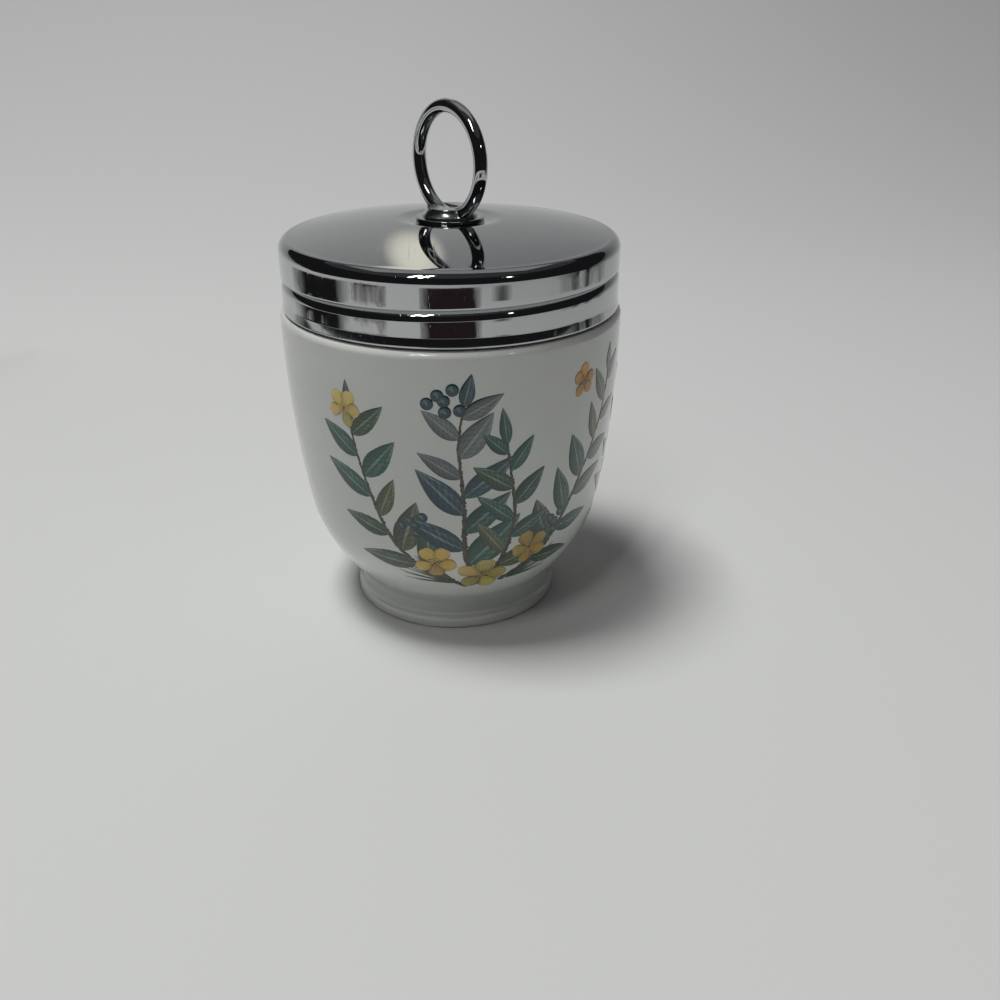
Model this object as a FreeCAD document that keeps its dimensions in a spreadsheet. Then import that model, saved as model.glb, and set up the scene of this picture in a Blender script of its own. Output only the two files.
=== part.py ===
import FreeCAD
import Part
import math
import os
import re
import Sketcher

# Porcelain egg coddler: a glazed cup with a moulded neck thread, and a domed chromed screw cap
# with a rigid wire ring. Origin at the centre of the foot, on the table. +Z up, millimetres.
# The front of the object faces -Y.

document = FreeCAD.newDocument("egg_coddler")


# Driving dimensions

SIZES = {
    # cup
    "body_height": 58.0,
    "foot_radius": 19.85,
    "foot_height": 7.4,
    "foot_ring_width": 2.7,
    "foot_edge_round": 0.6,
    "foot_roll_height": 2.2,
    "foot_roll_inset": 0.18,
    "foot_roll_curve": 3.3,
    "waist_inset": 0.55,
    "waist_rise": 1.2,
    "waist_fall": 2.0,
    "waist_curve": 2.64,
    "foot_flare": 1.17,
    "foot_flare_curve": 3.7,
    "recess_depth": 5.4,
    "recess_crown": 0.4,
    "recess_corner": 1.2,
    "recess_draft": 0.4,
    "recess_edge_round": 0.3,
    "underside_radius": 28.97,
    "belly_radius": 219.5,
    "shoulder_overhang": 0.7,
    "shoulder_round": 1.3,
    "neck_height": 12.0,
    "neck_wall": 2.9,
    "chamber_straight": 20.0,
    "chamber_belly_radius": 230.0,
    "chamber_corner_radius": 17.0,
    "floor_thickness": 3.8,
    # screw thread
    "thread_pitch": 3.2,
    "thread_depth": 0.8,
    "thread_radial_gap": 0.3,
    "thread_axial_gap": 0.12,
    "ridge_turns": 1.25,
    "ridge_crest": 0.7,
    "ridge_root": 1.5,
    "groove_turns": 1.0,
    "groove_floor": 0.3,
    "groove_roll": 1.5,
    "groove_start": 4.5,
    "groove_azimuth": 90.0,
    # lid
    "lid_radius": 30.0,
    "lid_sheet": 0.5,
    "lid_shoulder": 2.0,
    "dome_radius": 146.5,
    "dimple_depth": 0.65,
    "dimple_slope": 2.0,
    "seat_margin": 0.4,
    "skirt_gap": 0.3,
    "seal_gap": 0.05,
    # ring and its fixing
    "ring_radius": 8.85,
    "ring_wire": 1.2,
    "ring_azimuth": -54.0,
    "ring_rise": 8.75,
    "slot_gap": 0.02,
    "boss_height": 1.65,
    "boss_top_radius": 4.1,
    "boss_base_radius": 4.8,
    "boss_web": 0.35,
    "boss_edge": 0.3,
    "boss_flare_curve": 1.98,
    "shank_radius": 1.6,
    "shank_gap": 0.05,
    "collar_radius": 6.0,
    "collar_thickness": 0.6,
    "collar_edge": 0.15,
    "backing_radius": 5.0,
    "backing_thickness": 0.8,
    "backing_edge": 0.2,
    "head_radius": 2.8,
    "head_height": 0.9,
    "head_rim": 0.3,
}

# Places that follow from the driving dimensions, in the order in which they depend on each other

PLACES = {
    "body_radius": "lid_radius + shoulder_overhang",
    "widest_height": "body_height - shoulder_round",
    "neck_radius": "lid_radius - lid_sheet - thread_radial_gap - thread_depth",
    "mouth_radius": "neck_radius - neck_wall",
    "rim_round": "neck_wall / 2",
    "rim_height": "body_height + neck_height",
    "rim_centre_height": "rim_height - rim_round",
    "rim_centre_radius": "neck_radius - rim_round",
    "recess_radius": "foot_radius - foot_ring_width",
    "crown_edge": "recess_radius - recess_corner - recess_draft",
    "crown_radius": "(crown_edge^2 + recess_crown^2) / (2 * recess_crown)",
    "waist_radius": "foot_radius - waist_inset",
    "underside_start": "waist_radius + foot_flare",
    "floor_height": "recess_depth + recess_crown + floor_thickness",
    "straight_end": "rim_centre_height - chamber_straight",
    "ridge_outer": "neck_radius + thread_depth",
    "lid_inner": "lid_radius - lid_sheet",
    "skirt_bottom": "body_height + skirt_gap",
    "edge_round": "lid_sheet / 2",
    "dome_inner": "dome_radius - lid_sheet",
    "dome_centre": "rim_centre_height - sqrt((dome_inner - seal_gap - rim_round)^2 - rim_centre_radius^2)",
    "shoulder_centre_radius": "lid_radius - lid_shoulder",
    "shoulder_inner": "lid_shoulder - lid_sheet",
    "shoulder_centre_height": "dome_centre + sqrt((dome_radius - lid_shoulder)^2 - shoulder_centre_radius^2)",
    "dome_share": "shoulder_centre_radius / (dome_radius - lid_shoulder)",
    "dome_end_radius": "dome_radius * dome_share",
    "dome_end_height": "dome_centre + dome_radius * sqrt(1 - dome_share^2)",
    "dome_inner_end_radius": "dome_inner * dome_share",
    "dome_inner_end_height": "dome_centre + dome_inner * sqrt(1 - dome_share^2)",
    "seat_height": "dome_centre + dome_radius - dimple_depth",
    "seat_radius": "collar_radius + seat_margin",
    "dimple_radius": "seat_radius + dimple_slope",
    "dimple_top": "dome_centre + sqrt(dome_radius^2 - dimple_radius^2)",
    "dimple_inner_top": "dome_centre + sqrt(dome_inner^2 - dimple_radius^2)",
    "seat_inner": "seat_height - lid_sheet",
    "hole_radius": "shank_radius + shank_gap",
    "collar_top": "seat_height + collar_thickness",
    "boss_top": "collar_top + boss_height",
    "slot_bottom": "collar_top + boss_web",
    "ring_centre": "slot_bottom + ring_rise",
    "backing_bottom": "seat_inner - backing_thickness",
    "head_edge": "backing_bottom - head_rim",
    "head_bottom": "backing_bottom - head_height",
    "head_crown_radius": "(head_radius^2 + (head_height - head_rim)^2) / (2 * (head_height - head_rim))",
    "groove_lip": "skirt_bottom + groove_start",
    "groove_bottom_radius": "lid_radius - thread_depth",
    "groove_foot": "groove_lip - groove_floor - groove_roll",
    "groove_roll_radius": "(thread_depth^2 + groove_roll^2) / (2 * thread_depth)",
    "bead_crest_radius": "groove_bottom_radius - lid_sheet",
    "bead_top": "groove_lip + lid_sheet",
    "bead_roll_radius": "groove_roll_radius - lid_sheet",
    "bead_crest_bottom": "groove_foot + sqrt(bead_roll_radius^2 - (bead_roll_radius - thread_depth)^2)",
    "ridge_slope": "(ridge_root - ridge_crest) / 2 / thread_depth",
    "ridge_half_there": "ridge_crest / 2 + ridge_slope * (ridge_outer - bead_crest_radius)",
    "ridge_lead": "(ridge_turns - groove_turns) / 2",
    "ridge_azimuth": "groove_azimuth - ridge_lead * 360",
    "ridge_centre": "bead_top + thread_axial_gap + ridge_half_there - ridge_lead * thread_pitch",
}

sizes = document.addObject("Spreadsheet::Sheet", "Sizes")
for row, (alias, number) in enumerate(SIZES.items(), start=1):
    sizes.set(f"A{row}", alias)
    sizes.set(f"B{row}", str(number))
    sizes.setAlias(f"B{row}", alias)
document.recompute()


def tie(expression):
    """Writes the names of sheet cells in an expression the way the document refers to them."""
    def refer(match):
        word = match.group()
        if word in SIZES:
            return f"Sizes.{word}"
        if word in PLACES:
            return f"Places.{word}"
        return word
    return re.sub(r"[a-z_]+", refer, expression)


places = document.addObject("Spreadsheet::Sheet", "Places")
for row, (alias, formula) in enumerate(PLACES.items(), start=1):
    places.set(f"A{row}", alias)
    places.setAlias(f"B{row}", alias)
    places.set(f"B{row}", "=" + re.sub(r"Places\.", "", tie(formula)))
document.recompute()


def number(expression):
    """The present value of an expression, used where a sketch needs a first guess."""
    return float(places.evalExpression(tie(expression)))


# Sketch outlines

START, END = 1, 2
AXIS = "axis"


def origin_plane(body, role):
    """The body's own origin plane with this role."""
    for feature in body.Origin.OriginFeatures:
        if feature.Role == role:
            return feature
    raise LookupError(role)


def new_body(label):
    """An empty body named after its sub-part."""
    body = document.addObject("PartDesign::Body", label)
    body.Label = label
    return body


def new_sketch(body, name, turn=None):
    """A sketch in the body's XZ plane, turned about Z by the expression in turn."""
    sketch = body.newObject("Sketcher::SketchObject", name)
    sketch.AttachmentSupport = [(origin_plane(body, "XZ_Plane"), "")]
    sketch.MapMode = "FlatFace"
    if turn is not None:
        angle = number(turn)
        sketch.AttachmentOffset = FreeCAD.Placement(
            FreeCAD.Vector(), FreeCAD.Rotation(FreeCAD.Vector(0, 1, 0), angle))
        sketch.setExpression("AttachmentOffset.Rotation.Angle", "(" + tie(turn) + ") * 1 deg")
    document.recompute()
    return sketch


def arc_between(start, end, radius, clockwise):
    """The shorter arc of this radius from start to end, and whether its own start is there."""
    middle = (start + end) * 0.5
    chord = end - start
    rise = math.sqrt(max(radius ** 2 - (chord.Length / 2) ** 2, 0.0))
    side = FreeCAD.Vector(-chord.y, chord.x, 0).normalize()
    centre = middle - side * rise if clockwise else middle + side * rise
    first, last = (end, start) if clockwise else (start, end)
    angles = [math.atan2(point.y - centre.y, point.x - centre.x) for point in (first, last)]
    if angles[1] < angles[0]:
        angles[1] += 2 * math.pi
    circle = Part.Circle(centre, FreeCAD.Vector(0, 0, 1), radius)
    return Part.ArcOfCircle(circle, angles[0], angles[1])


def draw_outline(sketch, corners, edges, smooth=()):
    """Draws a closed outline whose corners and radii follow the sheets.

    corners: (radius, height) expressions in order round the outline. AXIS as a radius puts the
        corner on the axis of turning. A corner given with a third value "free" is only a first
        guess, and is found by the tangent edges that meet there; "level" does that to the radius.
    edges: one per corner, from it to the next: "line", or ("left" or "right", radius expression)
        for an arc that turns to that side.
    smooth: numbers of the corners where the two edges are tangent.
    """
    points = []
    for corner in corners:
        radius = 0.0 if corner[0] == AXIS else number(corner[0])
        points.append(FreeCAD.Vector(radius, number(corner[1]), 0))
    ends = []
    for index, edge in enumerate(edges):
        start = points[index]
        end = points[(index + 1) % len(points)]
        if edge == "line":
            geometry = sketch.addGeometry(Part.LineSegment(start, end), False)
            ends.append((geometry, START, END))
            continue
        side, radius = edge
        clockwise = side == "right"
        arc = arc_between(start, end, number(radius), clockwise)
        geometry = sketch.addGeometry(arc, False)
        ends.append((geometry, END, START) if clockwise else (geometry, START, END))
        bind(sketch, Sketcher.Constraint("Radius", geometry, number(radius)), radius)
    for index, corner in enumerate(corners):
        before, _, arriving = ends[index - 1]
        after, leaving, _ = ends[index]
        kind = "Tangent" if index in smooth else "Coincident"
        sketch.addConstraint(Sketcher.Constraint(kind, before, arriving, after, leaving))
        if corner[-1] == "free":
            continue
        if corner[0] == AXIS:
            sketch.addConstraint(Sketcher.Constraint("PointOnObject", after, leaving, -2))
        elif corner[-1] != "level":
            across = Sketcher.Constraint("DistanceX", -1, 1, after, leaving, points[index].x)
            bind(sketch, across, corner[0])
        upward = Sketcher.Constraint("DistanceY", -1, 1, after, leaving, points[index].y)
        bind(sketch, upward, corner[1])


def bind(sketch, constraint, expression):
    """Adds a constraint whose value is an expression of the sheets."""
    index = sketch.addConstraint(constraint)
    sketch.setExpression(f"Constraints[{index}]", tie(expression))


def revolve(body, name, corners, edges, smooth=()):
    """Turns a closed outline all the way round the body's Z axis."""
    sketch = new_sketch(body, name + "_outline")
    draw_outline(sketch, corners, edges, smooth)
    turned = body.newObject("PartDesign::Revolution", name)
    turned.Profile = sketch
    turned.ReferenceAxis = (sketch, ["V_Axis"])
    turned.Angle = 360.0
    document.recompute()
    return turned


def wind(body, kind, name, corners, edges, azimuth, turns):
    """Winds a closed section along the right-hand thread helix, starting at an azimuth."""
    sketch = new_sketch(body, name + "_section", azimuth)
    draw_outline(sketch, corners, edges)
    thread = body.newObject(kind, name)
    thread.Profile = sketch
    thread.ReferenceAxis = (sketch, ["V_Axis"])
    thread.Mode = "pitch-turns-angle"
    thread.setExpression("Pitch", tie("thread_pitch"))
    thread.setExpression("Turns", tie(turns))
    document.recompute()
    return thread


# Porcelain cup: foot ring, round belly, shoulder, threaded neck and rounded rim

def cup_tangent_point():
    """Where the belly arc and the underside arc meet, as a first guess."""
    belly = FreeCAD.Vector(number("body_radius - belly_radius"), number("widest_height"), 0)
    foot = FreeCAD.Vector(number("underside_start"), number("foot_height"), 0)
    reach = number("belly_radius - underside_radius")
    return tangent_point(belly, foot, reach, number("underside_radius"))


def tangent_point(centre, point, reach, radius):
    """The point where an arc about centre runs into an arc of radius that ends at point."""
    span = point - centre
    along = (reach ** 2 - radius ** 2 + span.Length ** 2) / (2 * span.Length)
    aside = math.sqrt(max(reach ** 2 - along ** 2, 0.0))
    unit = FreeCAD.Vector(span).normalize()
    second = centre + unit * along + FreeCAD.Vector(-unit.y, unit.x, 0) * aside
    return second + (second - centre).normalize() * radius


def chamber_tangent_point():
    """Where the chamber's belly arc and its corner arc meet, and where the corner meets the floor."""
    belly_x = number("mouth_radius - chamber_belly_radius")
    belly_y = number("straight_end")
    corner_y = number("floor_height + chamber_corner_radius")
    reach = number("chamber_belly_radius - chamber_corner_radius")
    corner_x = belly_x + math.sqrt(reach ** 2 - (corner_y - belly_y) ** 2)
    belly = FreeCAD.Vector(belly_x, belly_y, 0)
    corner = FreeCAD.Vector(corner_x, corner_y, 0)
    meeting = corner + (corner - belly).normalize() * number("chamber_corner_radius")
    return meeting, corner_x


def make_cup():
    """The fired cup, one solid."""
    body = new_body("porcelain_cup")
    belly_point = cup_tangent_point()
    chamber_point, floor_edge = chamber_tangent_point()
    corners = [
        (AXIS, "recess_depth + recess_crown"),
        ("crown_edge", "recess_depth"),
        ("crown_edge + recess_corner", "recess_depth - recess_corner"),
        ("recess_radius", "recess_edge_round"),
        ("recess_radius + recess_edge_round", "0"),
        ("foot_radius - foot_edge_round", "0"),
        ("foot_radius", "foot_edge_round"),
        ("foot_radius - foot_roll_inset", "foot_roll_height"),
        ("waist_radius", "foot_roll_height + waist_rise"),
        ("waist_radius", "foot_height - waist_fall"),
        ("underside_start", "foot_height"),
        (f"{belly_point.x:.4f}", f"{belly_point.y:.4f}", "free"),
        ("body_radius", "widest_height"),
        ("body_radius - shoulder_round", "body_height"),
        ("neck_radius", "body_height"),
        ("neck_radius", "rim_centre_height"),
        ("rim_centre_radius", "rim_height"),
        ("mouth_radius", "rim_centre_height"),
        ("mouth_radius", "straight_end"),
        (f"{chamber_point.x:.4f}", f"{chamber_point.y:.4f}", "free"),
        (f"{floor_edge:.4f}", "floor_height", "level"),
        (AXIS, "floor_height"),
    ]
    edges = [
        ("right", "crown_radius"),
        ("right", "recess_corner"),
        "line",
        ("left", "recess_edge_round"),
        "line",
        ("left", "foot_edge_round"),
        ("left", "foot_roll_curve"),
        ("right", "waist_curve"),
        "line",
        ("right", "foot_flare_curve"),
        ("left", "underside_radius"),
        ("left", "belly_radius"),
        ("left", "shoulder_round"),
        "line",
        "line",
        ("left", "rim_round"),
        ("left", "rim_round"),
        "line",
        ("right", "chamber_belly_radius"),
        ("right", "chamber_corner_radius"),
        "line",
        "line",
    ]
    revolve(body, "cup_body", corners, edges, smooth=(11, 18, 19, 20))
    make_neck_thread(body)
    return body


def make_neck_thread(body):
    """The moulded ridge that the lid's rolled thread pulls against."""
    sunk = "neck_radius - thread_depth / 2"
    corners = [
        (sunk, "ridge_centre - ridge_root / 2"),
        ("neck_radius", "ridge_centre - ridge_root / 2"),
        ("ridge_outer", "ridge_centre - ridge_crest / 2"),
        ("ridge_outer", "ridge_centre + ridge_crest / 2"),
        ("neck_radius", "ridge_centre + ridge_root / 2"),
        (sunk, "ridge_centre + ridge_root / 2"),
    ]
    wind(body, "PartDesign::AdditiveHelix", "neck_thread", corners, ["line"] * len(corners),
         "ridge_azimuth", "ridge_turns")


# Lid: one sheet with a dome, a dimple for the boss, a shoulder, a rolled thread and a skirt

def make_lid():
    """The pressed sheet cap, one solid of even thickness."""
    body = new_body("lid_shell")
    corners = [
        ("hole_radius", "seat_inner"),
        ("seat_radius", "seat_inner"),
        ("dimple_radius", "dimple_inner_top"),
        ("dome_inner_end_radius", "dome_inner_end_height"),
        ("lid_inner", "shoulder_centre_height"),
        ("lid_inner", "skirt_bottom + edge_round"),
        ("lid_radius - edge_round", "skirt_bottom"),
        ("lid_radius", "skirt_bottom + edge_round"),
        ("lid_radius", "shoulder_centre_height"),
        ("dome_end_radius", "dome_end_height"),
        ("dimple_radius", "dimple_top"),
        ("seat_radius", "seat_height"),
        ("hole_radius", "seat_height"),
    ]
    edges = [
        "line",
        "line",
        ("right", "dome_inner"),
        ("right", "shoulder_inner"),
        "line",
        ("left", "edge_round"),
        ("left", "edge_round"),
        "line",
        ("left", "lid_shoulder"),
        ("left", "dome_radius"),
        "line",
        "line",
        "line",
    ]
    revolve(body, "lid_sheet_form", corners, edges)
    roll_lid_thread(body)
    return body


def roll_lid_thread(body):
    """The groove rolled into the skirt: a bead inside, then the groove outside."""
    inside = "lid_inner + lid_sheet / 2"
    bead = [
        (inside, "groove_foot"),
        (inside, "bead_top"),
        ("bead_crest_radius + lid_sheet / 2", "bead_top"),
        ("bead_crest_radius", "bead_top - lid_sheet / 2"),
        ("bead_crest_radius", "bead_crest_bottom"),
        ("lid_inner", "groove_foot"),
    ]
    bead_edges = ["line", "line", ("left", "lid_sheet / 2"), "line", ("right", "bead_roll_radius"), "line"]
    wind(body, "PartDesign::AdditiveHelix", "inner_bead", bead, bead_edges,
         "groove_azimuth", "groove_turns")
    outside = "lid_radius + lid_sheet"
    groove = [
        ("lid_radius", "groove_foot"),
        (outside, "groove_foot"),
        (outside, "groove_lip"),
        ("groove_bottom_radius", "groove_lip"),
        ("groove_bottom_radius", "groove_lip - groove_floor"),
    ]
    groove_edges = ["line", "line", "line", "line", ("right", "groove_roll_radius")]
    wind(body, "PartDesign::SubtractiveHelix", "rolled_groove", groove, groove_edges,
         "groove_azimuth", "groove_turns")


# Ring and its fixing

def make_ring():
    """The closed wire ring, filed flat underneath where it sits in the boss."""
    turn = FreeCAD.Rotation(FreeCAD.Vector(0, 0, 1), number("ring_azimuth + 90"))
    upright = turn.multiply(FreeCAD.Rotation(FreeCAD.Vector(0, 1, 0), 90))
    wire = document.addObject("Part::Torus", "ring_wire_form")
    wire.setExpression("Radius1", tie("ring_radius"))
    wire.setExpression("Radius2", tie("ring_wire"))
    wire.Placement = FreeCAD.Placement(FreeCAD.Vector(0, 0, number("ring_centre")), upright)
    wire.setExpression("Placement.Base.z", tie("ring_centre"))
    flat = document.addObject("Part::Cylinder", "ring_flat_form")
    flat.setExpression("Radius", tie("ring_radius"))
    flat.setExpression("Height", tie("ring_radius"))
    flat.setExpression("Placement.Base.z", tie("slot_bottom - ring_radius"))
    ring = document.addObject("Part::Cut", "finger_ring")
    ring.Base = wire
    ring.Tool = flat
    ring.Label = "finger_ring"
    document.recompute()
    return ring


def make_boss():
    """The turned boss with its saddle slot, its shank and the peened head inside the lid."""
    body = new_body("ring_boss")
    corners = [
        (AXIS, "boss_top"),
        (AXIS, "head_bottom"),
        ("head_radius", "head_edge"),
        ("head_radius", "backing_bottom"),
        ("shank_radius", "backing_bottom"),
        ("shank_radius", "collar_top"),
        ("boss_base_radius", "collar_top"),
        ("boss_base_radius", "collar_top + boss_edge"),
        ("boss_top_radius", "boss_top - boss_edge"),
        ("boss_top_radius - boss_edge", "boss_top"),
    ]
    edges = [
        "line",
        ("left", "head_crown_radius"),
        "line",
        "line",
        "line",
        "line",
        "line",
        ("right", "boss_flare_curve"),
        ("left", "boss_edge"),
        "line",
    ]
    revolve(body, "boss_turning", corners, edges)
    slot_half = "ring_wire + slot_gap"
    sketch = new_sketch(body, "saddle_slot_outline")
    corners = [
        ("-(" + slot_half + ")", "slot_bottom"),
        (slot_half, "slot_bottom"),
        (slot_half, "boss_top + boss_height"),
        ("-(" + slot_half + ")", "boss_top + boss_height"),
    ]
    draw_outline(sketch, corners, ["line"] * len(corners))
    slot = body.newObject("PartDesign::Pocket", "saddle_slot")
    slot.Profile = sketch
    slot.Type = "ThroughAll"
    slot.Midplane = True
    turned = number("ring_azimuth + 90")
    body.Placement = FreeCAD.Placement(
        FreeCAD.Vector(), FreeCAD.Rotation(FreeCAD.Vector(0, 0, 1), turned))
    body.setExpression("Placement.Rotation.Angle", "(" + tie("ring_azimuth + 90") + ") * 1 deg")
    document.recompute()
    return body


def make_disc(label, radius, bottom, top, edge):
    """A round disc with a hole for the shank and a rounded outer edge."""
    body = new_body(label)
    corners = [
        ("hole_radius", bottom),
        (f"{radius} - {edge}", bottom),
        (radius, f"{bottom} + {edge}"),
        (radius, f"{top} - {edge}"),
        (f"{radius} - {edge}", top),
        ("hole_radius", top),
    ]
    edges = ["line", ("left", edge), "line", ("left", edge), "line", "line"]
    revolve(body, label + "_turning", corners, edges)
    return body


def check(parts):
    """Stops with the name of any object that failed, before anything is written."""
    for item in document.Objects:
        if "Invalid" in item.State or "Error" in item.State:
            raise RuntimeError(f"{item.Name} did not build: {item.State}")
    for part in parts:
        shape = part.Shape
        if shape.isNull() or not shape.isValid() or len(shape.Solids) != 1:
            raise RuntimeError(f"{part.Label} is not one valid solid")


def main():
    """Builds each sub-part and writes one STEP file for each."""
    parts = [
        make_cup(),
        make_lid(),
        make_ring(),
        make_boss(),
        make_disc("collar_washer", "collar_radius", "seat_height", "collar_top", "collar_edge"),
        make_disc("backing_washer", "backing_radius", "backing_bottom", "seat_inner", "backing_edge"),
    ]
    document.recompute()
    check(parts)
    os.makedirs("parts", exist_ok=True)
    for part in parts:
        part.Shape.exportStep(f"parts/{part.Label}.step")
        box = part.Shape.optimalBoundingBox()
        print(f"{part.Label}: volume {part.Shape.Volume:.2f}, z {box.ZMin:.3f} to {box.ZMax:.3f}")


main()
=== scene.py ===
"""Looks of the porcelain egg coddler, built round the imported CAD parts."""

import logging
import math
from dataclasses import dataclass, field
from enum import Enum

import bpy
import numpy as np
from mathutils import Matrix, Vector, noise


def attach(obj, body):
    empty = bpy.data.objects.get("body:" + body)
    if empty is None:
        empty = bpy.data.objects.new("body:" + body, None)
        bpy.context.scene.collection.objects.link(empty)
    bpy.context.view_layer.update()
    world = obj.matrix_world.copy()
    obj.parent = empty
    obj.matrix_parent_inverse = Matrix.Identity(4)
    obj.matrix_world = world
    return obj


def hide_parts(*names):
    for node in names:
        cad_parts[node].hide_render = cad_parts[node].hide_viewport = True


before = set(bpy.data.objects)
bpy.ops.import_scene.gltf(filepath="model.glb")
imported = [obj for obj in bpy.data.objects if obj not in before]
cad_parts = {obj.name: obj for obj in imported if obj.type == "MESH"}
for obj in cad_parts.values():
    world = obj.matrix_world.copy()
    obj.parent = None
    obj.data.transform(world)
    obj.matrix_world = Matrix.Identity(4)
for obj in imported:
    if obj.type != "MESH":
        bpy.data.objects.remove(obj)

LOG = logging.getLogger("coddler")
MM = 0.001

# The clear glaze that lies over porcelain and paint alike
GLAZE_IOR = 1.52
GLAZE_COAT = 0.35
GLAZE_COAT_ROUGHNESS = 0.04
GLAZE_RIPPLE_SCALE = 190.0
GLAZE_RIPPLE_STRENGTH = 0.16
GLAZE_RIPPLE_DEPTH = 0.12 * MM

Colour = tuple[float, float, float]


def smooth(low: float, high: float, value: float) -> float:
    """Eases from 0 at low to 1 at high."""
    share = min(1.0, max(0.0, (value - low) / (high - low)))
    return share * share * (3.0 - 2.0 * share)


class NodeGraph:
    """A thin hand for wiring a node tree."""

    def __init__(self, tree: bpy.types.NodeTree) -> None:
        """Takes an emptied tree.

        Args:
            tree: the node tree that is filled.
        """
        self.tree = tree
        tree.nodes.clear()

    def add(self, kind: str, values: dict | None = None, **settings: object) -> bpy.types.Node:
        """Adds a node.

        Args:
            kind: Blender's name of the node type.
            values: input sockets by name or number, each a constant or another node's output.
            settings: properties of the node itself.

        Returns:
            The new node.
        """
        node = self.tree.nodes.new(kind)
        for name, value in settings.items():
            setattr(node, name, value)
        for key, value in (values or {}).items():
            socket = node.inputs[key]
            if isinstance(value, bpy.types.NodeSocket):
                self.tree.links.new(value, socket)
            else:
                socket.default_value = value
        return node

    def math(self, operation: str, *operands: object) -> bpy.types.NodeSocket:
        """Adds a Math node and returns its result."""
        kind = "ShaderNodeMath"
        return self.add(kind, dict(enumerate(operands)), operation=operation).outputs[0]

    def mix(self, share: object, low: object, high: object) -> bpy.types.NodeSocket:
        """Mixes two colours and returns the result."""
        node = self.add("ShaderNodeMix", {0: share, 6: low, 7: high}, data_type="RGBA")
        return node.outputs[2]

    def spread(self, value: object, low: float, high: float, to_low: float,
               to_high: float) -> bpy.types.NodeSocket:
        """Maps a value from one range to another, held at its ends."""
        values = {0: value, 1: low, 2: high, 3: to_low, 4: to_high}
        return self.add("ShaderNodeMapRange", values).outputs[0]


class Finish:
    """A finish that can dress pieces."""

    name: str = "finish"

    def shade(self, graph: NodeGraph) -> bpy.types.NodeSocket:
        """Wires the finish and returns its shader output."""
        raise NotImplementedError

    def material(self) -> bpy.types.Material:
        """The finish as a material, made once."""
        made = bpy.data.materials.get(self.name)
        if made is None:
            made = bpy.data.materials.new(self.name)
            made.use_nodes = True
            graph = NodeGraph(made.node_tree)
            surface = self.shade(graph)
            graph.add("ShaderNodeOutputMaterial", {"Surface": surface})
        return made

    def dress(self, piece: bpy.types.Object) -> None:
        """Makes this the piece's only material."""
        piece.data.materials.clear()
        piece.data.materials.append(self.material())


def rgba(colour: Colour) -> tuple[float, float, float, float]:
    """The colour with full cover."""
    return (*colour, 1.0)


def glaze_ripple(graph: NodeGraph) -> bpy.types.NodeSocket:
    """The slow ripple of the glaze's surface, as a height."""
    place = graph.add("ShaderNodeTexCoord").outputs["Object"]
    values = {"Vector": place, "Scale": GLAZE_RIPPLE_SCALE, "Detail": 1.5}
    return graph.add("ShaderNodeTexNoise", values).outputs[0]


def glaze_bump(graph: NodeGraph, relief: bpy.types.NodeSocket) -> bpy.types.NodeSocket:
    """The glaze's surface direction over a relief."""
    values = {"Height": relief, "Strength": GLAZE_RIPPLE_STRENGTH, "Distance": GLAZE_RIPPLE_DEPTH}
    return graph.add("ShaderNodeBump", values).outputs[0]


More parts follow.
